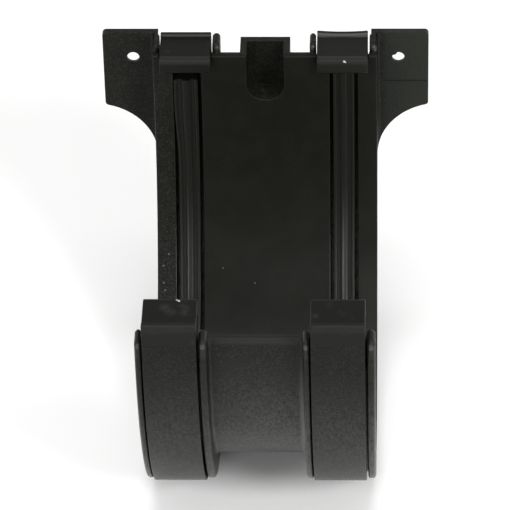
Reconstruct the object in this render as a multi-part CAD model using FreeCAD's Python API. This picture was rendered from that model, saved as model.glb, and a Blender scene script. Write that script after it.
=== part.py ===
import FreeCAD
import Part
import os
from math import hypot, sqrt

Vector = FreeCAD.Vector

# Gutter union bracket. X runs along the gutter, +Y points at the wall board, +Z is up.
# The origin is midway between the two ear screw holes, on the plane that meets the board.
# A rise is a height above the trough axis, the level where the trough's sides turn straight.
# An offset is a distance outwards from the trough's inner surface.

# Trough that the two gutter ends lie in
bracket_length = 72.0
trough_half_width = 59.2
trough_depth = 79.3
trough_wall = 3.0
front_rim_rise = 0.6
rear_rim_rise = 18.2
rim_bevel = 0.5

# Fins, with a strap channel between each two
fin_thickness = 2.0
fin_height = 10.0
fin_front_rise = 4.6
fin_rear_rise = 21.5
fin_corner_radius = 2.2
fin_crest_bevel = 0.7
fin_sink = 1.0
channel_width = 17.6

# Straps with a hook at each end
strap_thickness = 2.6
strap_side_gap = 0.65
strap_shift = -0.33
strap_clearance = 0.3
strap_stand_off = 8.2
hook_plate = 2.4
hook_lip_height = 6.2
hook_lip_thickness = 2.4
hook_front_gap = 2.4
hook_rear_gap = 1.0
hook_upstand = 0.9
hook_front_rise = 10.5
hook_rear_rise = 19.9
hook_fold_radius = 1.1
hook_ridge_radius = 0.7
hook_lip_radius = 1.0

# Grooves and rubber seals
groove_width = 9.0
groove_side_wall = 2.6
groove_end_wall = 2.7
channel_floor = 2.7
seal_width = 6.8
seal_floor_gap = 0.2
seal_end_gap = 0.3
seal_slip = 4.3
seal_valley_depth = 0.4
seal_lip_width = 1.1
seal_lip_proud = 0.1
seal_rib_width = 2.0
seal_rib_proud = 0.5

# Ears that are screwed to the board
ear_width = 16.5
ear_thickness = 2.2
ear_top_rise = 21.4
ear_hole_rise = 11.7
ear_hole_from_end = 6.8
ear_hole_diameter = 4.0
ear_hole_chamfer = 0.9
ear_arc_radius = 20.3
ear_arc_centre_rise = -27.0
ear_corner_radius = 1.3
ear_root_radius = 1.0
ear_web_drop = 14.0
ear_root_lap = 1.5
board_clearance = 0.3
witness_rise = 2.8
witness_depth = 0.25

# Screw pocket in the rear wall
pocket_inner_width = 11.8
pocket_wall = 2.1
pocket_back = 2.5
pocket_centre_rise = 7.0
pocket_mouth_bevel = 0.5

# Worked out from the sizes above
board_offset = trough_half_width + strap_stand_off + strap_thickness + board_clearance
half_length = bracket_length / 2
band_centre = half_length - fin_thickness - channel_width / 2
strap_width = channel_width - 2 * strap_side_gap
floor_offset = strap_stand_off - strap_clearance
groove_depth = floor_offset - channel_floor
seat_front_rise = hook_front_rise - hook_plate - strap_clearance
seat_rear_rise = hook_rear_rise - hook_plate - strap_clearance
groove_front_rise = seat_front_rise - groove_end_wall
groove_rear_rise = seat_rear_rise - groove_end_wall

# The section is an oval of tangent arcs, one under the floor and one up each side
chord = hypot(trough_half_width, trough_depth)
floor_radius = (chord - trough_depth + trough_half_width) / 2 * chord / trough_depth
side_radius = (chord - trough_half_width + trough_depth) / 2 * chord / trough_half_width

over_cut = 5.0
near = 0.01
fillet_share = 0.45


def at(x, y, z):
    """Model point for a place x along the gutter, y behind the trough axis and z above it."""
    return Vector(x, y - board_offset, z - ear_hole_rise)


def soft(radius, wall):
    """Radius or bevel, held to what a wall with one on each edge can take."""
    return min(radius, wall * fillet_share)


def section_arcs(x, offset):
    """The trough's round section at an offset, as three tangent arcs from the front to the rear."""
    floor_centre = Vector(0, 0, floor_radius - trough_depth)
    arcs = []
    ends = []
    for way in (-1, 1):
        side_centre = Vector(0, way * (trough_half_width - side_radius), 0)
        lean = (floor_centre - side_centre) * (1 / (side_radius - floor_radius))
        end = floor_centre + lean * (floor_radius + offset)
        top = Vector(0, way * (trough_half_width + offset), 0)
        middle = (end + top) * 0.5 - side_centre
        middle = side_centre + middle.normalize() * (side_radius + offset)
        places = [at(x, point.y, point.z) for point in (top, middle, end)]
        arcs.append(Part.Arc(*places).toShape())
        ends.append(places[2])
    bottom = at(x, 0, -trough_depth - offset)
    return arcs + [Part.Arc(ends[0], bottom, ends[1]).toShape()]


def cradle(centre_x, width, inner, outer, front_rise, rear_rise):
    """Band of the trough between two offsets, as wide as width, with its front and rear tops."""
    x = centre_x - width / 2
    y_in = trough_half_width + inner
    y_out = trough_half_width + outer
    edges = section_arcs(x, inner) + section_arcs(x, outer)
    for way, rise in ((-1, front_rise), (1, rear_rise)):
        corners = [(y_in, 0), (y_in, rise), (y_out, rise), (y_out, 0)]
        edges += Part.makePolygon([at(x, way * y, z) for y, z in corners]).Edges
    wire = Part.Wire(Part.__sortEdges__(edges))
    return Part.Face(wire).extrude(Vector(width, 0, 0))


def block(x_pair, y_pair, z_pair):
    """Box between two places, given as pairs in either order."""
    x0, x1 = sorted(x_pair)
    y0, y1 = sorted(y_pair)
    z0, z1 = sorted(z_pair)
    return Part.makeBox(x1 - x0, y1 - y0, z1 - z0, at(x0, y0, z0))


def edges_along_x(shape, places):
    """Edges that run along the gutter through the given (y, z) places."""
    found = []
    for edge in shape.Edges:
        box = edge.BoundBox
        if box.YLength > near or box.ZLength > near:
            continue
        for y, z in places:
            spot = at(0, y, z)
            if abs(box.YMin - spot.y) < near and abs(box.ZMin - spot.z) < near:
                found.append(edge)
    return found


def fin(centre_x):
    """Thin flange beside a strap, all the way round the trough, with rounded corners and a bevelled crest."""
    inner = trough_wall - fin_sink
    flange = cradle(centre_x, fin_thickness, inner, fin_height, fin_front_rise, fin_rear_rise)
    y_in = trough_half_width + inner
    y_out = trough_half_width + fin_height
    corners = [(-y_in, fin_front_rise), (-y_out, fin_front_rise), (y_in, fin_rear_rise), (y_out, fin_rear_rise)]
    flange = flange.makeFillet(fin_corner_radius, edges_along_x(flange, corners))
    rim = [edge for edge in flange.Edges if edge.BoundBox.XLength < near]
    return flange.makeChamfer(soft(fin_crest_bevel, fin_thickness), rim)


def u_slot(half_width, y0, y1):
    """Upright slot with a round foot, open at the top, running from y0 back to y1."""
    top = rear_rim_rise + over_cut
    foot = at(0, y0, pocket_centre_rise - half_width)
    left_foot = at(-half_width, y0, pocket_centre_rise)
    right_foot = at(half_width, y0, pocket_centre_rise)
    left_top = at(-half_width, y0, top)
    right_top = at(half_width, y0, top)
    edges = [Part.makeLine(left_top, left_foot), Part.Arc(left_foot, foot, right_foot).toShape()]
    edges += [Part.makeLine(right_foot, right_top), Part.makeLine(right_top, left_top)]
    return Part.Face(Part.Wire(edges)).extrude(Vector(0, y1 - y0, 0))


def screw_pocket(body):
    """Adds the pocket that lets a screw head lie behind the gutter, and opens it to the trough."""
    half_width = pocket_inner_width / 2
    shell = u_slot(half_width + pocket_wall, trough_half_width + trough_wall / 2, board_offset)
    ends = (-half_length, half_length)
    above = block(ends, (0, board_offset + over_cut), (rear_rim_rise, rear_rim_rise + 2 * over_cut))
    hollow = u_slot(half_width, trough_half_width - over_cut, board_offset - pocket_back)
    body = body.fuse(shell.cut(above)).cut(hollow).removeSplitter()
    y_mouth = at(0, trough_half_width, 0).y
    mouth = []
    for edge in body.Edges:
        box = edge.BoundBox
        in_wall = abs(box.YMin - y_mouth) < near and abs(box.YMax - y_mouth) < near
        if in_wall and box.XMin > -half_width - near and box.XMax < half_width + near:
            mouth.append(edge)
    return body.makeChamfer(pocket_mouth_bevel, mouth)


def ear_outline(side):
    """Front outline of an ear: square above, with a concave arc below that runs into the bracket's end."""
    y_face = board_offset - ear_thickness
    x_root = half_length - ear_root_lap
    x_tip = half_length + ear_width
    x_arc = half_length + ear_arc_radius
    z_tip = ear_arc_centre_rise + sqrt(ear_arc_radius ** 2 - (x_arc - x_tip) ** 2)
    lean = ear_arc_radius * sqrt(0.5)
    corners = [(half_length, ear_arc_centre_rise), (x_root, ear_arc_centre_rise), (x_root, ear_top_rise)]
    corners += [(x_tip, ear_top_rise), (x_tip, z_tip)]
    places = [at(side * x, y_face, z) for x, z in corners]
    middle = at(side * (x_arc - lean), y_face, ear_arc_centre_rise + lean)
    edges = Part.makePolygon(places).Edges
    edges.append(Part.Arc(places[-1], middle, places[0]).toShape())
    return Part.Face(Part.Wire(edges))


def ear(side):
    """Screw ear on one side, with its hole, the web that ties it to the end fin and a fillet between them."""
    y_face = board_offset - ear_thickness
    x_root = side * (half_length - ear_root_lap)
    x_end = side * half_length
    x_tip = side * (half_length + ear_width)
    outline = ear_outline(side)
    plate = outline.extrude(Vector(0, ear_thickness, 0))
    tip_edges = []
    for edge in plate.Edges:
        box = edge.BoundBox
        if box.XLength < near and box.ZLength < near and abs(box.XMin - x_tip) < near:
            tip_edges.append(edge)
    plate = plate.makeFillet(ear_corner_radius, tip_edges)

    z_low = ear_arc_centre_rise - ear_web_drop
    y_crest = trough_half_width + fin_height - ear_root_lap
    y_low = trough_half_width - side_radius + sqrt((side_radius + fin_height) ** 2 - z_low ** 2)
    profile = [(y_crest, 0), (y_crest, ear_top_rise), (board_offset, ear_top_rise)]
    profile += [(board_offset, ear_arc_centre_rise), (y_low, z_low), (y_low - ear_root_lap, z_low), (y_crest, 0)]
    web = Part.Face(Part.makePolygon([at(x_root, y, z) for y, z in profile]))
    web = web.extrude(Vector(side * ear_root_lap, 0, 0))

    x_root_end = x_end + side * ear_root_radius
    y_hollow = y_face - ear_root_radius
    corner = block((x_end, x_root_end), (y_hollow, y_face), (ear_arc_centre_rise, ear_top_rise))
    foot = at(x_root_end, y_hollow, ear_arc_centre_rise)
    hollow = Part.makeCylinder(ear_root_radius, ear_top_rise - ear_arc_centre_rise, foot)
    root = corner.cut(hollow).common(outline.extrude(Vector(0, -ear_root_radius, 0)))

    hole_x = side * (half_length + ear_hole_from_end)
    radius = ear_hole_diameter / 2
    start = at(hole_x, y_face - over_cut, ear_hole_rise)
    bore = Part.makeCylinder(radius, ear_thickness + 2 * over_cut, start, Vector(0, 1, 0))
    mouth = at(hole_x, board_offset - ear_hole_chamfer, ear_hole_rise)
    flare = Part.makeCone(radius, radius + ear_hole_chamfer, ear_hole_chamfer, mouth, Vector(0, 1, 0))
    return plate.multiFuse([web, root]).cut(bore.fuse(flare))


def witness_step():
    """Shallow step that a mould insert left across the right ear, below its hole."""
    y_face = board_offset - ear_thickness
    x_pair = (half_length + ear_root_radius, half_length + ear_width + over_cut)
    y_pair = (y_face - over_cut, y_face + witness_depth)
    return block(x_pair, y_pair, (ear_arc_centre_rise, witness_rise))


def union_body():
    """The moulding: trough, fins, seal channels, ears and screw pocket."""
    body = cradle(0, bracket_length, 0, trough_wall, front_rim_rise, rear_rim_rise)
    outside = trough_half_width + trough_wall
    rims = [(-outside, front_rim_rise), (-trough_half_width, front_rim_rise)]
    rims += [(trough_half_width, rear_rim_rise), (outside, rear_rim_rise)]
    body = body.makeChamfer(rim_bevel, edges_along_x(body, rims))
    added = []
    removed = [witness_step()]
    for side in (-1, 1):
        centre = side * band_centre
        for step in (-1, 1):
            added.append(fin(centre + step * (channel_width + fin_thickness) / 2))
        bulge_width = groove_width + 2 * groove_side_wall
        added.append(cradle(centre, bulge_width, 0, floor_offset, seat_front_rise, seat_rear_rise))
        added.append(ear(side))
        removed.append(cradle(centre, groove_width, -over_cut, groove_depth, groove_front_rise, groove_rear_rise))
        half_notch = strap_width / 2 + strap_clearance
        x_pair = (centre + strap_shift - half_notch, centre + strap_shift + half_notch)
        y_pair = (trough_half_width - over_cut, trough_half_width + trough_wall + over_cut)
        removed.append(block(x_pair, y_pair, (seat_rear_rise, rear_rim_rise + over_cut)))
    body = body.multiFuse(added).cut(Part.makeCompound(removed))
    return screw_pocket(body)


def strap(side):
    """Retaining strap, lying to the left in its channel, with a hook over each edge and a ridge on the fold."""
    centre = side * band_centre + strap_shift
    x_pair = (centre - strap_width / 2, centre + strap_width / 2)
    outside = strap_stand_off + strap_thickness
    front_top = hook_front_rise + hook_upstand
    rear_top = hook_rear_rise + hook_upstand
    whole = cradle(centre, strap_width, strap_stand_off, outside, front_top, rear_top)
    folds = []
    ridges = []
    noses = []
    hooks = ((-1, hook_front_gap, hook_front_rise), (1, hook_rear_gap, hook_rear_rise))
    for way, gap, rise in hooks:
        y_out = way * (trough_half_width + outside)
        y_in = way * (trough_half_width + strap_stand_off)
        lip_back = way * (trough_half_width - gap)
        tip = lip_back - way * hook_lip_thickness
        plate = block(x_pair, (tip, y_out), (rise - hook_plate, rise))
        lip = block(x_pair, (tip, lip_back), (rise - hook_lip_height, rise))
        whole = whole.multiFuse([plate, lip])
        folds.append((y_out, rise + hook_upstand))
        ridges.append((y_in, rise + hook_upstand))
        noses += [(tip, rise), (tip, rise - hook_lip_height)]
    whole = whole.removeSplitter()
    whole = whole.makeFillet(soft(hook_lip_radius, hook_lip_thickness), edges_along_x(whole, noses))
    whole = whole.makeFillet(soft(hook_fold_radius, strap_thickness), edges_along_x(whole, folds))
    return whole.makeFillet(hook_ridge_radius, edges_along_x(whole, ridges))


def seal(side, front_rise, rear_rise):
    """Rubber strip in a groove: a base with two side lips and a taller middle rib, cut off level at its ends."""
    centre = side * band_centre
    base_top = seal_valley_depth - seal_lip_proud
    tops = (groove_front_rise, groove_rear_rise)
    base = cradle(centre, seal_width, base_top, groove_depth - seal_floor_gap, *tops)
    crests = [cradle(centre, seal_rib_width, -seal_rib_proud, base_top, *tops)]
    for step in (-1, 1):
        lip_centre = centre + step * (seal_width - seal_lip_width) / 2
        crests.append(cradle(lip_centre, seal_lip_width, -seal_lip_proud, base_top, *tops))
    x_pair = (centre - seal_width, centre + seal_width)
    front_end = block(x_pair, (-board_offset, 0), (front_rise, groove_front_rise + over_cut))
    rear_end = block(x_pair, (0, board_offset), (rear_rise, groove_rear_rise + over_cut))
    return base.multiFuse(crests).removeSplitter().cut(Part.makeCompound([front_end, rear_end]))


# The left seal has slipped forwards in its groove, away from the rear hook's lip
seal_front_rise = groove_front_rise - seal_end_gap
seal_rear_rise = hook_rear_rise - hook_lip_height - strap_clearance
nodes = {
    "union_body": union_body(),
    "left_strap": strap(-1),
    "right_strap": strap(1),
    "left_seal": seal(-1, seal_front_rise, seal_rear_rise - seal_slip),
    "right_seal": seal(1, seal_front_rise - seal_slip, seal_rear_rise),
}
os.makedirs("parts", exist_ok=True)
for name, shape in nodes.items():
    shape.exportStep("parts/" + name + ".step")
    print(name, "solids", len(shape.Solids), "valid", shape.isValid(), "volume", round(shape.Volume, 1))
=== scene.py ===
import math

import bmesh
import bpy
from mathutils import Matrix, Vector


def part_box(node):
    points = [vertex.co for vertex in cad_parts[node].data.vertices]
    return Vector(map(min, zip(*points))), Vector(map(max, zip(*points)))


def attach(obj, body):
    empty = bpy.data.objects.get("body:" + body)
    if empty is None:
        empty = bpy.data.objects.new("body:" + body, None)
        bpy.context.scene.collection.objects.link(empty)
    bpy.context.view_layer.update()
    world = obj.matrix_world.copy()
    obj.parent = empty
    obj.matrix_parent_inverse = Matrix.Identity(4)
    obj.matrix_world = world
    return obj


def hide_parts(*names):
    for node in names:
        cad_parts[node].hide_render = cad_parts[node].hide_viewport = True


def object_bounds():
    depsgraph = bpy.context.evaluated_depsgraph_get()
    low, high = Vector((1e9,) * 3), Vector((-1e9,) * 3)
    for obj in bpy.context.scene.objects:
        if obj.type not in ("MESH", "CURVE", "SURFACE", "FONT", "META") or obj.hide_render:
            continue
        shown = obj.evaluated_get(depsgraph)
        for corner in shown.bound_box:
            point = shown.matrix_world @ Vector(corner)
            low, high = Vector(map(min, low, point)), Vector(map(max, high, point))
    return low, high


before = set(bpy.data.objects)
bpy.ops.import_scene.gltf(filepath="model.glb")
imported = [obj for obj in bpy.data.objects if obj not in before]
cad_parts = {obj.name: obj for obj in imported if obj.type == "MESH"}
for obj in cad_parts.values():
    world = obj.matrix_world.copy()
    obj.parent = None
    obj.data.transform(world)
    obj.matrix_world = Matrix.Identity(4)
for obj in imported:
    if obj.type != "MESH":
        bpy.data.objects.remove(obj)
cadLow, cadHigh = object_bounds()
print("frame loaded, box", [round(v, 4) for v in (*cadLow, *cadHigh)])

mm = 0.001
trough = {
    "axisY": -70.3 * mm,        # the trough's axis, in front of and below the screw holes
    "axisZ": -11.7 * mm,
    "halfWidth": 59.2 * mm,
    "depth": 79.3 * mm,
    "wall": 3.0 * mm,
    "end": 36.0 * mm,
    "finFaces": (14.4 * mm, 16.4 * mm, 34.0 * mm, 36.0 * mm),   # two to a fin, the first towards the middle
    "finBevel": 0.7 * mm,
    "grooveSides": (20.7 * mm, 29.7 * mm),
    "slopeStep": 0.01 * mm,     # for measuring which way is outwards
}


def offsetOf(place):
    # distance outwards from the trough's inner surface, an oval of tangent arcs
    half, depth = trough["halfWidth"], trough["depth"]
    chord = math.hypot(half, depth)
    floorRadius = (chord - depth + half) / 2 * chord / depth
    sideRadius = (chord - half + depth) / 2 * chord / half
    across, rise = abs(place.y - trough["axisY"]), place.z - trough["axisZ"]
    if rise >= 0:
        return across - half
    upper = math.hypot(across + sideRadius - half, rise) - sideRadius
    lower = math.hypot(across, rise + depth - floorRadius) - floorRadius
    underFloor = across * (depth - floorRadius) < (sideRadius - half) * -(rise + depth - floorRadius)
    return lower if underFloor else upper


def outwardsAt(place):
    # unit direction that leads away from the trough's inner surface
    slopes = []
    for way in (Vector((0, 1, 0)), Vector((0, 0, 1))):
        step = way * trough["slopeStep"]
        slopes.append(offsetOf(place + step) - offsetOf(place - step))
    return Vector((0, *slopes)).normalized()


# node helpers

edgeSamples = 6
mixSockets = {"RGBA": (6, 7, 2), "FLOAT": (2, 3, 0)}    # a Mix node's two inputs and its result


def addNode(tree, kind, settings, inputs):
    node = tree.nodes.new(kind)
    for key, value in settings.items():
        setattr(node, key, value)
    for key, value in inputs.items():
        socket = node.inputs[key]
        if isinstance(value, bpy.types.NodeSocket):
            tree.links.new(value, socket)
        else:
            socket.default_value = value
    return node


def maths(tree, operation, *values):
    return addNode(tree, "ShaderNodeMath", {"operation": operation}, dict(enumerate(values))).outputs[0]


def product(tree, first, *others):
    for other in others:
        first = maths(tree, "MULTIPLY", first, other)
    return first


def largest(tree, first, *others):
    for other in others:
        first = maths(tree, "MAXIMUM", first, other)
    return first


def ramp(tree, value, low, high, toLow=0.0, toHigh=1.0):
    inputs = {"Value": value, "From Min": low, "From Max": high, "To Min": toLow, "To Max": toHigh}
    settings = {"interpolation_type": "SMOOTHSTEP"}
    return addNode(tree, "ShaderNodeMapRange", settings, inputs).outputs["Result"]


def blend(tree, kind, factor, first, second):
    firstAt, secondAt, resultAt = mixSockets[kind]
    inputs = {0: factor, firstAt: first, secondAt: second}
    return addNode(tree, "ShaderNodeMix", {"data_type": kind}, inputs).outputs[resultAt]


def blendColour(tree, factor, first, second):
    return blend(tree, "RGBA", factor, first, second)


def blendValue(tree, factor, first, second):
    return blend(tree, "FLOAT", factor, first, second)


def noise(tree, place, size, detail, roughness, stretch=None):
    if stretch:
        place = addNode(tree, "ShaderNodeMapping", {}, {"Vector": place, "Scale": stretch}).outputs[0]
    inputs = {"Vector": place, "Scale": 1 / size, "Detail": detail, "Roughness": roughness}
    return addNode(tree, "ShaderNodeTexNoise", {}, inputs).outputs["Fac"]


def bandMask(tree, value, middle, half, peak=1.0, core=0.3):
    # the peak along the middle of a band, fading to 0 at its edges
    away = maths(tree, "ABSOLUTE", maths(tree, "SUBTRACT", value, middle))
    return ramp(tree, away, half, half * core, 0.0, peak)


def spotMask(tree, place, spots, core=0.5):
    # soft round marks at given places: (x, y, z, radius) in mm
    marks = []
    for x, y, z, radius in spots:
        inputs = {0: place, 1: (x * mm, y * mm, z * mm)}
        gap = addNode(tree, "ShaderNodeVectorMath", {"operation": "DISTANCE"}, inputs).outputs["Value"]
        marks.append(ramp(tree, gap, radius * mm, radius * mm * core))
    return largest(tree, *marks)


def startMaterial(name):
    material = bpy.data.materials.new(name)
    material.use_nodes = True
    tree = material.node_tree
    tree.nodes.clear()
    place = addNode(tree, "ShaderNodeTexCoord", {}, {}).outputs["Object"]
    parts = addNode(tree, "ShaderNodeSeparateXYZ", {}, {"Vector": place}).outputs
    return material, tree, place, parts


def closeMaterial(tree, finish, colour, roughness, height, specular):
    # rounded edge normals first, then the grain on top of them
    rounded = addNode(tree, "ShaderNodeBevel", {"samples": edgeSamples}, {"Radius": finish["edge"]})
    bump = addNode(tree, "ShaderNodeBump", {}, {
        "Strength": 1.0,
        "Distance": finish["grainDepth"],
        "Height": height,
        "Normal": rounded.outputs[0],
    })
    shader = addNode(tree, "ShaderNodeBsdfPrincipled", {}, {
        "Base Color": colour,
        "Roughness": roughness,
        "Specular IOR Level": specular,
        "Normal": bump.outputs[0],
    })
    addNode(tree, "ShaderNodeOutputMaterial", {}, {"Surface": shader.outputs[0]})


# grain that the body and the straps share: pale specks, coarser low on the outside, where their paleness is
# partly painted sheen

mouldGrain = {
    "mottleRange": (0.35, 0.65),
    "grain": (0.6 * mm, 3, 0.65),               # size, detail and roughness of the noise
    "grainDepth": 0.17 * mm,
    "speckRange": (0.47, 0.72),
    "coarse": (0.75 * mm, 3, 0.65, (1.0, 0.4, 0.4)),    # drawn out round the trough
    "coarseRange": (0.33, 0.7),
    "lowGrain": 0.4,                            # share of the grain's height that is left low down
    "roughness": (0.28, 0.38),
    "roughnessRange": (0.3, 0.7),
    "specular": 0.12,
}


def addSpecks(tree, finish, grain, amount, colour):
    specks = product(tree, ramp(tree, grain, *finish["speckRange"]), amount)
    return blendColour(tree, specks, colour, finish["speck"])


def addLowSpecksAndSheen(tree, finish, place, low, colour):
    coarse = ramp(tree, noise(tree, place, *finish["coarse"]), *finish["coarseRange"])
    return blendColour(tree, product(tree, coarse, low), colour, finish["lowSpeckAndSheen"])


# moulded plastic of the body: grained outside and on the ears, smoother in the trough

bodyFinish = {
    **mouldGrain,
    "dark": (0.0042, 0.0046, 0.0029, 1),
    "light": (0.0059, 0.0064, 0.0044, 1),
    "mottle": (9 * mm, 4, 0.6),
    "speck": (0.02, 0.0215, 0.0175, 1),
    "insideReach": (1.03, 1.01),                # shares of the oval from outside to inside
    "insideGrain": 0.12,
    "insideRoughness": 0.46,
    "leftStripX": (-27 * mm, -29 * mm),         # grained inside the trough too
    "lowSpeckAndSheen": (0.046, 0.048, 0.043, 1),
    "lowZ": (-15 * mm, -60 * mm),               # the outside grows paler downwards: pale specks, partly painted sheen
    "paintedLightX": (-15.0 * mm, 13.0 * mm),          # and a little towards the right: painted floor light
    "paintedLightShares": (0.72, 1.12),
    "hollow": (0.078, 0.08, 0.073, 1),          # painted highlight in the hollow beside the right inner fin
    "hollowX": 13.7 * mm,
    "hollowHalf": 1.3 * mm,
    "hollowY": (trough["axisY"], trough["axisY"] - 5 * mm),
    # the right ear painted lighter, as if more brightly lit
    "rightEarLit": (0.015, 0.0168, 0.0138, 1),
    "rightEarX": (36 * mm, 40 * mm),
    "paintedHighlight": (0.014, 0.015, 0.013, 1),         # painted highlight along the front rim
    "rimZ": (-13.8 * mm, -12.6 * mm),
    "rimY": (-128.0 * mm, -129.0 * mm),
    "lowRightHighlight": (0.0118, 0.0125, 0.0098, 1),       # painted highlight low on the right strip
    "lowRightHighlightX": (29.0 * mm, 31.5 * mm),
    "lowRightHighlightZ": (-58.0 * mm, -74.0 * mm),
    "stepShade": (0.007, 0.0075, 0.0065, 1),         # painted shade: a dark line under the moulding step on the right ear
    "stepShadeX": (37.2 * mm, 37.7 * mm),
    "stepShadeY": (-1.2 * mm, -1.4 * mm),
    "stepShadeZ": -9.3 * mm,
    "stepShadeHalf": 0.6 * mm,
    "paleSpeckAndGlint": (0.075, 0.075, 0.07, 1),
    "edge": 0.25 * mm,
    "polishedSpecular": 0.7,
    "polishedX": (-29.7 * mm, 20.7 * mm),       # the grooves' left edges, low in the trough
    "polishedHalf": 0.35 * mm,
    "polishedZ": (-50.0 * mm, -64.0 * mm),
    "wornSpecular": 0.6,
    "wornRoughness": 0.3,
    "wornFade": (0.5, 0.0),                     # the grain fades out towards a worn spot
    "wornSpots": [
        # x, y, z, radius in mm: rubbed corners of the fins
        (-34.9, -139.4, -8.6, 1.1), (-15.6, -139.4, -8.8, 1.1),
        (15.4, -139.5, -9.0, 1.2), (34.7, -139.4, -9.0, 1.3),
        (-15.2, -9.0, 7.9, 1.4), (15.4, -9.0, 8.0, 1.4), (35.0, -9.0, 8.0, 1.4),
    ],
    "paleSpotsAndGlints": [
        # x, y, z, radius in mm: small pale specks on the rear of the trough
        (-34.1, -27.2, -66.0, 0.45), (-34.0, -30.4, -70.6, 0.4), (-33.5, -31.9, -72.5, 0.4),
        (-32.3, -25.2, -62.7, 0.4), (-14.6, -27.6, -66.6, 0.35), (-4.1, -30.4, -70.6, 0.35),
    ],
}


def insideTrough(tree, parts):
    # 1 inside the half oval, 0 outside it
    across = maths(tree, "DIVIDE", maths(tree, "SUBTRACT", parts["Y"], trough["axisY"]), trough["halfWidth"])
    below = maths(tree, "MINIMUM", maths(tree, "SUBTRACT", parts["Z"], trough["axisZ"]), 0.0)
    down = maths(tree, "DIVIDE", below, trough["depth"])
    reach = maths(tree, "ADD", product(tree, across, across), product(tree, down, down))
    return ramp(tree, maths(tree, "SQRT", reach), *bodyFinish["insideReach"])


# pale specks low on the outside, partly painted sheen, with painted floor light making them stronger towards
# the right
def paleAndLitOutside(tree, place, parts, low, colour):
    finish = bodyFinish
    paler = product(tree, low, ramp(tree, parts["X"], *finish["paintedLightX"], *finish["paintedLightShares"]))
    colour = addLowSpecksAndSheen(tree, finish, place, paler, colour)
    # painted highlight in the hollow beside the right inner fin
    hollow = bandMask(tree, parts["X"], finish["hollowX"], finish["hollowHalf"])
    hollow = product(tree, hollow, low, ramp(tree, parts["Y"], *finish["hollowY"]))
    return blendColour(tree, hollow, colour, finish["hollow"])


def paintBodyLightAndSpecks(tree, place, parts, inside, colour):
    # painted highlights on the front rim and low on the right strip, painted shade under the right ear's
    # step, and a few pale specks
    finish = bodyFinish
    paintedHighlight = product(tree, ramp(tree, parts["Z"], *finish["rimZ"]), ramp(tree, parts["Y"], *finish["rimY"]))
    colour = blendColour(tree, paintedHighlight, colour, finish["paintedHighlight"])
    lowRightHighlight = product(tree, inside, ramp(tree, parts["X"], *finish["lowRightHighlightX"]))
    lowRightHighlight = product(tree, lowRightHighlight, ramp(tree, parts["Z"], *finish["lowRightHighlightZ"]))
    colour = blendColour(tree, lowRightHighlight, colour, finish["lowRightHighlight"])
    stepShaded = bandMask(tree, parts["Z"], finish["stepShadeZ"], finish["stepShadeHalf"])
    stepShaded = product(tree, stepShaded, ramp(tree, parts["X"], *finish["stepShadeX"]))
    stepShaded = product(tree, stepShaded, ramp(tree, parts["Y"], *finish["stepShadeY"]))
    colour = blendColour(tree, stepShaded, colour, finish["stepShade"])
    return blendColour(tree, spotMask(tree, place, finish["paleSpotsAndGlints"]), colour, finish["paleSpeckAndGlint"])


def polishBody(tree, parts, inside, worn):
    finish = bodyFinish
    lines = [bandMask(tree, parts["X"], x, finish["polishedHalf"]) for x in finish["polishedX"]]
    polished = product(tree, largest(tree, *lines), ramp(tree, parts["Z"], *finish["polishedZ"]), inside)
    specular = blendValue(tree, polished, finish["specular"], finish["polishedSpecular"])
    return blendValue(tree, worn, specular, finish["wornSpecular"])


def makeBodyPlastic():
    finish = bodyFinish
    material, tree, place, parts = startMaterial("bodyPlastic")
    inside = insideTrough(tree, parts)
    outside = ramp(tree, inside, 1.0, 0.0)
    low = product(tree, ramp(tree, parts["Z"], *finish["lowZ"]), outside)
    leftStrip = ramp(tree, parts["X"], *finish["leftStripX"])
    calm = product(tree, inside, maths(tree, "SUBTRACT", 1.0, leftStrip))
    amount = ramp(tree, calm, 0.0, 1.0, 1.0, finish["insideGrain"])
    mottle = noise(tree, place, *finish["mottle"])
    grain = noise(tree, place, *finish["grain"])

    colour = blendColour(tree, ramp(tree, mottle, *finish["mottleRange"]), finish["dark"], finish["light"])
    # the right ear painted lighter, as if more brightly lit
    colour = blendColour(tree, ramp(tree, parts["X"], *finish["rightEarX"]), colour, finish["rightEarLit"])
    colour = addSpecks(tree, finish, grain, amount, colour)
    colour = paleAndLitOutside(tree, place, parts, low, colour)
    colour = paintBodyLightAndSpecks(tree, place, parts, inside, colour)

    worn = spotMask(tree, place, finish["wornSpots"])
    roughness = ramp(tree, grain, *finish["roughnessRange"], *finish["roughness"])
    roughness = blendValue(tree, calm, roughness, finish["insideRoughness"])
    roughness = blendValue(tree, worn, roughness, finish["wornRoughness"])
    lowAmount = ramp(tree, low, 0.0, 1.0, 1.0, finish["lowGrain"])
    height = product(tree, grain, amount, lowAmount, ramp(tree, worn, *finish["wornFade"]))
    closeMaterial(tree, finish, colour, roughness, height, polishBody(tree, parts, inside, worn))
    return material


# strap plastic: grained round the outside, smooth with faint blotches on the hooks, and painted highlights
# on their tips, folds, noses and ridges

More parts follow.
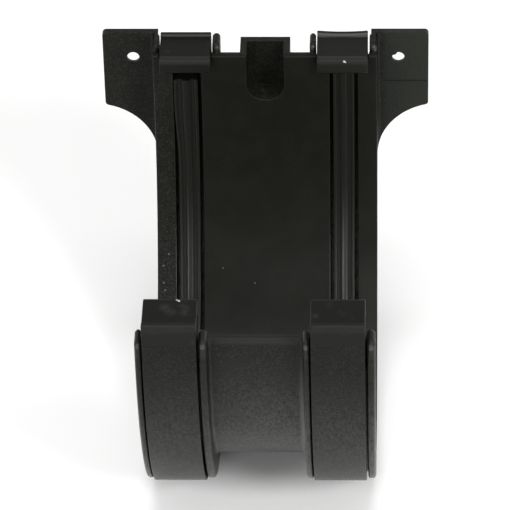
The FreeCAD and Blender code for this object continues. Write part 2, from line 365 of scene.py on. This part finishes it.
strapFinish = {
    **mouldGrain,
    "dark": (0.0032, 0.0038, 0.0024, 1),
    "light": (0.0046, 0.0053, 0.0036, 1),
    "mottle": (7 * mm, 4, 0.6),
    "speck": (0.015, 0.0165, 0.0135, 1),
    "lowSpeckAndSheen": (0.024, 0.0255, 0.023, 1),
    "lowZ": (-15 * mm, -50 * mm),               # the outside grows paler downwards: pale specks, partly painted sheen
    "hook": (0.0056, 0.0063, 0.0046, 1),
    "hookZ": (-8.05 * mm, -7.75 * mm),          # where the grain stops under the hooks
    "hookGrain": 0.2,
    "hookRoughness": 0.42,
    "frontY": (-100 * mm, -110 * mm),
    "rearY": (-60 * mm, -40 * mm),
    "rightX": (-10 * mm, 10 * mm),
    "rearRight": (0.0088, 0.0094, 0.0074, 1),
    "blotch": (0.0165, 0.0173, 0.0182, 1),
    "blotchNoise": (4 * mm, 3, 0.55),
    "blotchRange": (0.58, 0.8),
    "smear": (3.2 * mm, 3, 0.6),
    "smearRange": (0.3, 0.6),
    "paintedHighlight": (0.015, 0.016, 0.0135, 1),        # painted highlights at the front tips and folds and on the rear noses
    "tipY": (-126.8 * mm, -125.6 * mm),
    "foldY": (-137.6 * mm, -139.4 * mm),
    "foldZ": (-3.4 * mm, -1.2 * mm),
    "foldShare": 0.55,
    "noseY": (-16.0 * mm, -15.0 * mm),
    "noseZ": 6.6 * mm,
    "noseHalf": 1.3 * mm,
    "ridgeHighlightLeft": (0.03, 0.031, 0.028, 1),        # painted highlight along the rear hooks' fold ridges, brighter on the right
    "ridgeHighlightRight": (0.06, 0.061, 0.056, 1),
    "ridgeY": -2.75 * mm,
    "ridgeHalf": 0.8 * mm,
    "ridgeZ": (8.3 * mm, 8.7 * mm),
    # painted glints at the chipped front hook and on a rear nose
    "paleSpeckAndGlint": (0.42, 0.42, 0.41, 1),
    "edge": 0.15 * mm,
    "smudgeCore": 0.1,
    "smudges": [
        # x, y, z, radius in mm: greyish smudges on the front hooks
        (-27.0, -129.8, -1.2, 2.6), (-25.2, -131.6, -1.2, 3.0), (-21.0, -130.2, -1.2, 2.4),
        (-20.6, -132.2, -1.2, 2.6), (17.9, -133.6, -1.2, 1.8),
    ],
    "paleSpotsAndGlints": [
        # x, y, z, radius in mm: painted glints at the chipped front hook's tip and at a knock on a rear
        # hook's nose
        (-24.6, -125.3, -1.5, 0.4), (-24.0, -125.8, -1.4, 0.5), (-23.4, -126.2, -1.4, 0.55),
        (-22.8, -126.7, -1.3, 0.5), (25.5, -14.4, 6.9, 0.45), (25.9, -14.6, 6.7, 0.4),
    ],
}


# painted highlights on the hooks' front tips, folds, rear noses and fold ridges, over a lighter rear right
# hook
def paintHookHighlights(tree, parts, colour):
    finish = strapFinish
    front = ramp(tree, parts["Y"], *finish["frontY"])
    right = ramp(tree, parts["X"], *finish["rightX"])
    rearRight = product(tree, right, ramp(tree, parts["Y"], *finish["rearY"]))
    colour = blendColour(tree, rearRight, colour, finish["rearRight"])
    tip = product(tree, ramp(tree, parts["Y"], *finish["tipY"]), front)
    fold = ramp(tree, parts["Z"], *finish["foldZ"], 0.0, finish["foldShare"])
    fold = product(tree, fold, ramp(tree, parts["Y"], *finish["foldY"]))
    nose = bandMask(tree, parts["Z"], finish["noseZ"], finish["noseHalf"])
    nose = product(tree, nose, ramp(tree, parts["Y"], *finish["noseY"]))
    colour = blendColour(tree, largest(tree, tip, fold, nose), colour, finish["paintedHighlight"])
    # painted highlight along the rear fold ridges, brighter on the right
    bent = blendColour(tree, right, finish["ridgeHighlightLeft"], finish["ridgeHighlightRight"])
    ridge = bandMask(tree, parts["Y"], finish["ridgeY"], finish["ridgeHalf"])
    ridge = product(tree, ridge, ramp(tree, parts["Z"], *finish["ridgeZ"]))
    return blendColour(tree, ridge, colour, bent)


def makeStrapPlastic():
    finish = strapFinish
    material, tree, place, parts = startMaterial("strapPlastic")
    hook = ramp(tree, parts["Z"], *finish["hookZ"])
    low = ramp(tree, parts["Z"], *finish["lowZ"])
    amount = ramp(tree, hook, 0.0, 1.0, 1.0, finish["hookGrain"])
    grain = noise(tree, place, *finish["grain"])
    mottle = ramp(tree, noise(tree, place, *finish["mottle"]), *finish["mottleRange"])
    blotch = ramp(tree, noise(tree, place, *finish["blotchNoise"]), *finish["blotchRange"])
    smear = ramp(tree, noise(tree, place, *finish["smear"]), *finish["smearRange"])

    grained = blendColour(tree, mottle, finish["dark"], finish["light"])
    smudge = product(tree, spotMask(tree, place, finish["smudges"], finish["smudgeCore"]), smear)
    smooth = blendColour(tree, largest(tree, smudge, blotch), finish["hook"], finish["blotch"])
    colour = blendColour(tree, hook, grained, paintHookHighlights(tree, parts, smooth))
    colour = addSpecks(tree, finish, grain, amount, colour)
    colour = addLowSpecksAndSheen(tree, finish, place, low, colour)
    # painted glints at the chipped front hook's tip and on a rear hook's nose
    colour = blendColour(tree, spotMask(tree, place, finish["paleSpotsAndGlints"]), colour, finish["paleSpeckAndGlint"])

    roughness = ramp(tree, grain, *finish["roughnessRange"], *finish["roughness"])
    roughness = blendValue(tree, hook, roughness, finish["hookRoughness"])
    height = product(tree, grain, amount, ramp(tree, low, 0.0, 1.0, 1.0, finish["lowGrain"]))
    closeMaterial(tree, finish, colour, roughness, height, finish["specular"])
    return material


# seal rubber: faint streaks along its ribs, and polished lines on them low in the trough

sealFinish = {
    "dark": (0.0042, 0.0046, 0.0028, 1),
    "light": (0.0052, 0.0057, 0.0038, 1),
    "streak": (1.6 * mm, 3, 0.6, (1.0, 0.02, 0.02)),    # size, detail, roughness and stretch of the noise
    "streakRange": (0.35, 0.7),
    "grain": (0.35 * mm, 2, 0.5),
    "grainDepth": 0.03 * mm,
    "edge": 0.12 * mm,
    "roughness": (0.39, 0.43),
    "roughnessRange": (0.3, 0.7),
    "specular": 0.19,
    "polishedSpecular": 0.85,
    "polishedZ": (-38.0 * mm, -60.0 * mm),
    "polishedLines": [
        # x and half width in mm, share of the polish: the middle ribs and their edges, then the lips
        (-25.85, 0.42, 0.65), (-24.5, 0.42, 0.3), (-25.2, 1.2, 0.12),
        (24.85, 0.42, 1.0), (26.1, 0.42, 0.5), (25.5, 1.2, 0.35),
        (-28.0, 0.42, 0.15), (-22.4, 0.42, 0.15), (22.5, 0.42, 0.2), (28.2, 0.42, 0.2),
    ],
}


def makeSealRubber():
    finish = sealFinish
    material, tree, place, parts = startMaterial("sealRubber")
    streak = noise(tree, place, *finish["streak"])
    grain = noise(tree, place, *finish["grain"])
    colour = blendColour(tree, ramp(tree, streak, *finish["streakRange"]), finish["dark"], finish["light"])
    roughness = ramp(tree, streak, *finish["roughnessRange"], *finish["roughness"])
    lines = []
    for x, half, peak in finish["polishedLines"]:
        lines.append(bandMask(tree, parts["X"], x * mm, half * mm, peak))
    polished = product(tree, largest(tree, *lines), ramp(tree, parts["Z"], *finish["polishedZ"]))
    specular = blendValue(tree, polished, finish["specular"], finish["polishedSpecular"])
    closeMaterial(tree, finish, colour, roughness, grain, specular)
    return material


# pieces: a welded copy of each solid, with its edges softened

dressing = {
    "weld": 0.002 * mm,
    "flat": math.radians(0.3),
    "sharp": math.radians(50),
    "near": 0.02 * mm,
    "cutNear": 0.001 * mm,
    "bent": 0.5,                # radians, a little under 30 degrees
}


def isNear(value, target):
    return abs(value - target) < dressing["near"]


def share(value, start, end):
    # 0 at the start, 1 at the end, eased between them
    part = min(max((value - start) / (end - start), 0.0), 1.0)
    return part * part * (3 - 2 * part)


def startPiece(nodeName):
    work = bmesh.new()
    work.from_mesh(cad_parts[nodeName].data)
    bmesh.ops.remove_doubles(work, verts=work.verts, dist=dressing["weld"])
    bmesh.ops.dissolve_limit(work, angle_limit=dressing["flat"], verts=work.verts, edges=work.edges,
                             delimit={"NORMAL"})
    return work


def softenEdges(work, edges, width, segments):
    bmesh.ops.bevel(work, geom=edges, offset=width, offset_type="OFFSET", affect="EDGES", segments=segments,
                    profile=0.5, material=-1, clamp_overlap=False, loop_slide=True)


def cutAcross(work, place, normal):
    everything = list(work.verts) + list(work.edges) + list(work.faces)
    bmesh.ops.bisect_plane(work, geom=everything, plane_co=place, plane_no=normal, dist=dressing["cutNear"])


def bentEdges(work, convex):
    # edges that bend outwards, or inwards
    for edge in work.edges:
        if len(edge.link_faces) == 2:
            bend = edge.calc_face_angle_signed(0.0)
            if (bend if convex else -bend) > dressing["bent"]:
                yield edge


def runsAt(edge, places):
    # whether an edge stays at one of these distances from the bracket's middle
    along = [abs(vert.co.x) for vert in edge.verts]
    return any(all(isNear(x, place) for x in along) for place in places)


def edgesRound(work, places, offset, convex):
    # bent edges that run round the trough at these distances from its middle
    found = []
    for edge in bentEdges(work, convex):
        if runsAt(edge, places) and all(isNear(offsetOf(vert.co), offset) for vert in edge.verts):
            found.append(edge)
    return found


def closePiece(work, name, nodeName, material):
    for face in work.faces:
        face.smooth = True
    for edge in work.edges:
        edge.smooth = len(edge.link_faces) == 2 and edge.calc_face_angle(0.0) < dressing["sharp"]
    mesh = bpy.data.meshes.new(name)
    work.to_mesh(mesh)
    work.free()
    mesh.materials.append(material)
    piece = bpy.data.objects.new(name, mesh)
    bpy.context.scene.collection.objects.link(piece)
    weights = piece.modifiers.new("evenNormals", "WEIGHTED_NORMAL")
    weights.keep_sharp = True
    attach(piece, "root")
    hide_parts(nodeName)
    print("piece", name, len(mesh.polygons), "faces")


# body: the moulding with its fins, channels, ears and screw pocket

bodyShape = {
    "root": (1.2 * mm, 4),      # radius and segments of the hollow where the inner fins meet the middle wall
    "endEdge": (0.4 * mm, 3),
    "grooveEdge": (0.3 * mm, 2),
    "crestEdge": (0.25 * mm, 2),
    "crestBend": 1.1,           # radians, so that only the bevels' own edges are taken
    "crestClear": 0.5 * mm,     # and none near the wall
    "earX": 35.0 * mm,          # the outer crests run into the ears past this
    "earFront": -3.6 * mm,
    "crestKeep": (0.5 * mm, 0.25 * mm, 0.25 * mm, 0.5 * mm),    # what the crests' bevels keep lower down
    "crestZ": (-8.5 * mm, -16.0 * mm),
    "leanX": -0.45 * mm,        # two fins stand a little nearer to the straps on their left
    "leanFrom": ((-16.42 * mm, -15.4 * mm), (33.98 * mm, 34.95 * mm)),
    "floorSides": ((18.1 * mm, 16.95 * mm), (32.3 * mm, 33.45 * mm)),   # the channels' floors widen below
    "floorZ": (-12.0 * mm, -20.0 * mm),
    "bellyThin": 1.1 * mm,      # the middle wall thins towards its lowest part
    "bellyZ": (-50.0 * mm, -80.0 * mm),
    "holeX": 42.8 * mm,
    "holeRadius": 2.0 * mm,
    "flashAngles": (95, 165),   # thin flash left at the upper left of the right screw hole
    "flashSteps": 6,
    "flashRoot": 0.3 * mm,      # sunk into the ear
    "flashLeast": 0.05 * mm,
    "flashReach": 0.75 * mm,
    "flashY": (-2.0 * mm, -1.5 * mm),
}


def crestPlaces():
    # each fin face, the upper edge of its bevel, and which way the fin lies from it
    for place, face in enumerate(trough["finFaces"]):
        inwards = 1 if place % 2 == 0 else -1
        yield face, face + inwards * trough["finBevel"], inwards


def crestEdges(work):
    # both edges of each bevel that runs round the fins' crests
    shape = bodyShape
    places = [x for face, crest, inwards in crestPlaces() for x in (face, crest)]
    found = []
    for edge in bentEdges(work, True):
        bevelled = edge.calc_face_angle(0.0) < shape["crestBend"]
        clear = min(offsetOf(vert.co) for vert in edge.verts) > trough["wall"] + shape["crestClear"]
        outmost = max(abs(vert.co.x) for vert in edge.verts) > shape["earX"]
        atEar = outmost and max(vert.co.y for vert in edge.verts) > shape["earFront"]
        if bevelled and clear and not atEar and runsAt(edge, places):
            found.append(edge)
    return found


def narrowCrests(edges):
    # the bevel narrows down the fins, which leaves their crests flatter
    shape = bodyShape
    for vert in {vert for edge in edges for vert in edge.verts}:
        for (face, crest, inwards), keep in zip(crestPlaces(), shape["crestKeep"]):
            if isNear(abs(vert.co.x), crest):
                spread = (trough["finBevel"] - keep) * share(vert.co.z, *shape["crestZ"])
                vert.co.x -= inwards * math.copysign(spread, vert.co.x)
                break


def leanFins(work):
    for vert in work.verts:
        if any(low < vert.co.x < high for low, high in bodyShape["leanFrom"]):
            vert.co.x += bodyShape["leanX"]


def widenFloors(work):
    shape = bodyShape
    for vert in work.verts:
        for side, wide in shape["floorSides"]:
            if isNear(abs(vert.co.x), side) and offsetOf(vert.co) > trough["wall"] - dressing["near"]:
                spread = (wide - side) * share(vert.co.z, *shape["floorZ"])
                vert.co.x += math.copysign(spread, vert.co.x)
                break


def thinBelly(edges):
    shape = bodyShape
    for vert in {vert for edge in edges for vert in edge.verts}:
        vert.co -= outwardsAt(vert.co) * shape["bellyThin"] * share(vert.co.z, *shape["bellyZ"])


def addFlash(work):
    shape = bodyShape
    first, last = shape["flashAngles"]
    front, back = shape["flashY"]
    root, tip = [], []
    for step in range(shape["flashSteps"] + 1):
        part = step / shape["flashSteps"]
        turn = math.radians(first + (last - first) * part)
        reach = shape["flashReach"] * math.sin(math.pi * part) - shape["flashLeast"]
        for side, past in ((root, shape["flashRoot"]), (tip, -reach)):
            radius = shape["holeRadius"] + past
            place = (shape["holeX"] + radius * math.cos(turn), front, radius * math.sin(turn))
            side.append(work.verts.new(place))
    outline = work.faces.new(root + tip[::-1])
    grown = bmesh.ops.extrude_face_region(work, geom=[outline])["geom"]
    moved = [item for item in grown if isinstance(item, bmesh.types.BMVert)]
    bmesh.ops.translate(work, verts=moved, vec=(0, back - front, 0))
    faces = {face for vert in root + tip + moved for face in vert.link_faces}
    bmesh.ops.recalc_face_normals(work, faces=list(faces))


def makeBody(material):
    shape = bodyShape
    work = startPiece("union_body")
    crests = crestEdges(work)
    narrowCrests(crests)
    leanFins(work)
    widenFloors(work)
    softenEdges(work, crests, *shape["crestEdge"])
    ends = edgesRound(work, [trough["end"]], 0.0, True)
    softenEdges(work, ends, *shape["endEdge"])
    grooves = edgesRound(work, trough["grooveSides"], 0.0, True)
    softenEdges(work, grooves, *shape["grooveEdge"])
    roots = edgesRound(work, trough["finFaces"][:1], trough["wall"], False)
    thinBelly(roots)
    softenEdges(work, roots, *shape["root"])
    print("body edges", len(crests), len(ends), len(grooves), len(roots))
    addFlash(work)
    closePiece(work, "unionBody", "union_body", material)


# straps: a band round the outside with a hook at each end

strapShape = {
    "edge": (0.25 * mm, 2),     # width and segments
    "noseRadius": 1.0 * mm,     # the hooks' upper noses are rounder than the solid's
    "noses": ((-124.7 * mm, -1.2 * mm, 1.7), (-14.5 * mm, 8.2 * mm, 2.1)),      # y, z and growth
    "lineZ": -8.0 * mm,         # shallow line across the front where the grain starts
    "lineHalf": 0.25 * mm,
    "lineDepth": 0.1 * mm,
    "lineBehind": 0.3 * mm,     # how far behind the foremost point the line reaches
    "chipX": -24.2 * mm,        # chip in the tip of the left strap's front hook
    "chipHalf": 0.8 * mm,
    "chipDepth": 0.7 * mm,
    "chipDrop": 0.2 * mm,
    "chipBehind": -126.0 * mm,
    "chipAbove": -2.6 * mm,
    "sagLift": 0.6 * mm,        # the right strap's rear fold stands higher and sags in its middle
    "sagDepth": 0.4 * mm,
    "sagBehind": -9.0 * mm,
    "sagAbove": 7.0 * mm,
    "sagEase": 1.0 * mm,
    "sagCuts": 7,
}


def roundNoses(work):
    for noseY, noseZ, growth in strapShape["noses"]:
        for vert in work.verts:
            away = max(abs(vert.co.y - noseY), abs(vert.co.z - noseZ))
            if away < strapShape["noseRadius"] + dressing["near"]:
                vert.co.y = noseY + (vert.co.y - noseY) * growth
                vert.co.z = noseZ + (vert.co.z - noseZ) * growth


def scoreFront(work, front):
    shape = strapShape
    for shift in (-shape["lineHalf"], 0.0, shape["lineHalf"]):
        cutAcross(work, (0, 0, shape["lineZ"] + shift), (0, 0, 1))
    for vert in work.verts:
        if isNear(vert.co.z, shape["lineZ"]) and vert.co.y < front + shape["lineBehind"]:
            vert.co.y += shape["lineDepth"]


def chipTip(work):
    shape = strapShape
    for shift in (-shape["chipHalf"], 0.0, shape["chipHalf"]):
        cutAcross(work, (shape["chipX"] + shift, 0, 0), (1, 0, 0))
    for vert in work.verts:
        atTip = shape["chipBehind"] < vert.co.y < trough["axisY"] and vert.co.z > shape["chipAbove"]
        if atTip and isNear(vert.co.x, shape["chipX"]):
            vert.co.y -= shape["chipDepth"]
            vert.co.z -= shape["chipDrop"]


def sagFold(work):
    shape = strapShape
    low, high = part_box("right_strap")
    half = (high.x - low.x) / 2
    for step in range(1, shape["sagCuts"] + 1):
        cutAcross(work, (low.x + 2 * half * step / (shape["sagCuts"] + 1), 0, 0), (1, 0, 0))
    for vert in work.verts:
        if vert.co.y > shape["sagBehind"] and vert.co.z > shape["sagAbove"]:
            away = (vert.co.x - low.x - half) / half
            upwards = min((vert.co.z - shape["sagAbove"]) / shape["sagEase"], 1.0)
            vert.co.z += (shape["sagLift"] - shape["sagDepth"] * (1 - away * away)) * upwards


def makeStrap(nodeName, name, material, wear):
    work = startPiece(nodeName)
    low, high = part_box(nodeName)
    sides = []
    for edge in bentEdges(work, True):
        ends = [vert.co.x for vert in edge.verts]
        if all(isNear(x, low.x) for x in ends) or all(isNear(x, high.x) for x in ends):
            sides.append(edge)
    softenEdges(work, sides, *strapShape["edge"])
    roundNoses(work)
    scoreFront(work, low.y)
    wear(work)
    closePiece(work, name, nodeName, material)


# seals: ribbed strips in the grooves

sealShape = {
    "edge": (0.25 * mm, 2),     # width and segments
    "crestBelow": 0.35 * mm,    # rib and lip crests lie nearer the trough than this
    "flareX": -0.9 * mm,        # the left seal spreads to the left near its rear end
    "flareZ": (-36.0 * mm, -12.0 * mm),
    "flareAcross": (-24.0 * mm, -28.0 * mm),
}


def flareSeal(work):
    shape = sealShape
    for vert in work.verts:
        if vert.co.y > trough["axisY"]:
            upwards = share(vert.co.z, *shape["flareZ"])
            outwards = share(vert.co.x, *shape["flareAcross"])
            vert.co.x += shape["flareX"] * upwards * outwards


def makeSeal(nodeName, name, material, flared):
    work = startPiece(nodeName)
    crests = []
    for edge in bentEdges(work, True):
        first, second = (vert.co for vert in edge.verts)
        if isNear(first.x, second.x) and max(offsetOf(first), offsetOf(second)) < sealShape["crestBelow"]:
            crests.append(edge)
    softenEdges(work, crests, *sealShape["edge"])
    if flared:
        flareSeal(work)
    closePiece(work, name, nodeName, material)


bodyPlastic = makeBodyPlastic()
strapPlastic = makeStrapPlastic()
sealRubber = makeSealRubber()
print("materials made")
makeBody(bodyPlastic)
makeStrap("left_strap", "leftStrap", strapPlastic, chipTip)
makeStrap("right_strap", "rightStrap", strapPlastic, sagFold)
makeSeal("left_seal", "leftSeal", sealRubber, True)
makeSeal("right_seal", "rightSeal", sealRubber, False)

# floor, light and camera

studio = {
    "floorSize": 6.0,
    "floorColour": (0.93, 0.93, 0.925, 1),
    "floorRoughness": 0.9,
    "skyColour": (1, 1, 1, 1),
    "skyLow": 0.9,              # pale round the horizon, dim overhead
    "skyHigh": 0.38,
    "skyTurn": 0.6,
    "aimBelow": 30 * mm,        # the lamps point at a place under the trough's axis
    "lamps": [
        # name, degrees round from the front, degrees up, metres away, size, watts
        ("front", -5, 33, 1.5, 0.3, 2.5),
        ("left", -42, 33, 1.5, 0.5, 7.0),
        ("right", 42, 33, 1.5, 0.5, 13.0),
        ("overhead", 0, 88, 1.5, 0.9, 11.0),
    ],
}


def makeFloor():
    floorMesh = bpy.data.meshes.new("floor")
    work = bmesh.new()
    bmesh.ops.create_grid(work, x_segments=1, y_segments=1, size=studio["floorSize"] / 2)
    bmesh.ops.translate(work, verts=work.verts, vec=(0, trough["axisY"], cadLow.z))
    work.to_mesh(floorMesh)
    work.free()
    floor = bpy.data.objects.new("floor", floorMesh)
    bpy.context.scene.collection.objects.link(floor)
    material = bpy.data.materials.new("paleFloor")
    material.use_nodes = True
    shader = material.node_tree.nodes["Principled BSDF"]
    shader.inputs["Base Color"].default_value = studio["floorColour"]
    shader.inputs["Roughness"].default_value = studio["floorRoughness"]
    shader.inputs["Specular IOR Level"].default_value = 0.0
    floorMesh.materials.append(material)


def makeSky():
    world = bpy.data.worlds.new("studioSky")
    world.use_nodes = True
    tree = world.node_tree
    tree.nodes.clear()
    towards = addNode(tree, "ShaderNodeTexCoord", {}, {}).outputs["Generated"]
    height = addNode(tree, "ShaderNodeSeparateXYZ", {}, {"Vector": towards}).outputs["Z"]
    strength = ramp(tree, height, 0.0, studio["skyTurn"], studio["skyLow"], studio["skyHigh"])
    sky = addNode(tree, "ShaderNodeBackground", {}, {"Color": studio["skyColour"], "Strength": strength})
    addNode(tree, "ShaderNodeOutputWorld", {}, {"Surface": sky.outputs[0]})
    bpy.context.scene.world = world


def makeLamps():
    aim = Vector((0, trough["axisY"], trough["axisZ"] - studio["aimBelow"]))
    for name, around, up, away, size, watts in studio["lamps"]:
        turn, rise = math.radians(around), math.radians(up)
        towards = Vector((math.sin(turn) * math.cos(rise), -math.cos(turn) * math.cos(rise), math.sin(rise)))
        data = bpy.data.lights.new(name, "AREA")
        data.shape = "DISK"
        data.size = size
        data.energy = watts
        lamp = bpy.data.objects.new(name, data)
        lamp.location = aim + towards * away
        lamp.rotation_euler = (-towards).to_track_quat("-Z", "Y").to_euler()
        bpy.context.scene.collection.objects.link(lamp)


viewpoint = {
    "focalPixels": 4186.7,
    "framePixels": 510,
    "elevation": math.radians(38),
    "yaw": math.radians(-2.49),
    "roll": math.radians(-1.46),
    "shiftX": 2.11 * mm,        # the trough's axis lies this far right of the view's middle and above it
    "shiftUp": 12.61 * mm,
    "distance": 1304.56 * mm,
    "sensor": 36.0,
    "clip": (0.05, 50.0),
}


def makeCamera():
    values = viewpoint
    right = Vector((math.cos(values["yaw"]), -math.sin(values["yaw"]), 0))
    level = Vector((math.sin(values["yaw"]), math.cos(values["yaw"]), 0))
    rise = Vector((0, 0, 1))
    up = level * math.sin(values["elevation"]) + rise * math.cos(values["elevation"])
    ahead = level * math.cos(values["elevation"]) - rise * math.sin(values["elevation"])
    eye = -right * values["shiftX"] - up * values["shiftUp"] - ahead * values["distance"]
    eye += Vector((0, trough["axisY"], trough["axisZ"]))
    turnedRight = right * math.cos(values["roll"]) + up * math.sin(values["roll"])
    turnedUp = up * math.cos(values["roll"]) - right * math.sin(values["roll"])
    data = bpy.data.cameras.new("photoCamera")
    data.sensor_width = values["sensor"]
    data.lens = values["sensor"] * values["focalPixels"] / values["framePixels"]
    data.clip_start, data.clip_end = values["clip"]
    camera = bpy.data.objects.new("photoCamera", data)
    turn = Matrix((turnedRight, turnedUp, -ahead)).transposed()
    camera.matrix_world = Matrix.Translation(eye) @ turn.to_4x4()
    bpy.context.scene.collection.objects.link(camera)
    bpy.context.scene.camera = camera


makeFloor()
makeSky()
makeLamps()
makeCamera()
bpy.context.scene.view_settings.view_transform = "Standard"
print("studio and camera set")
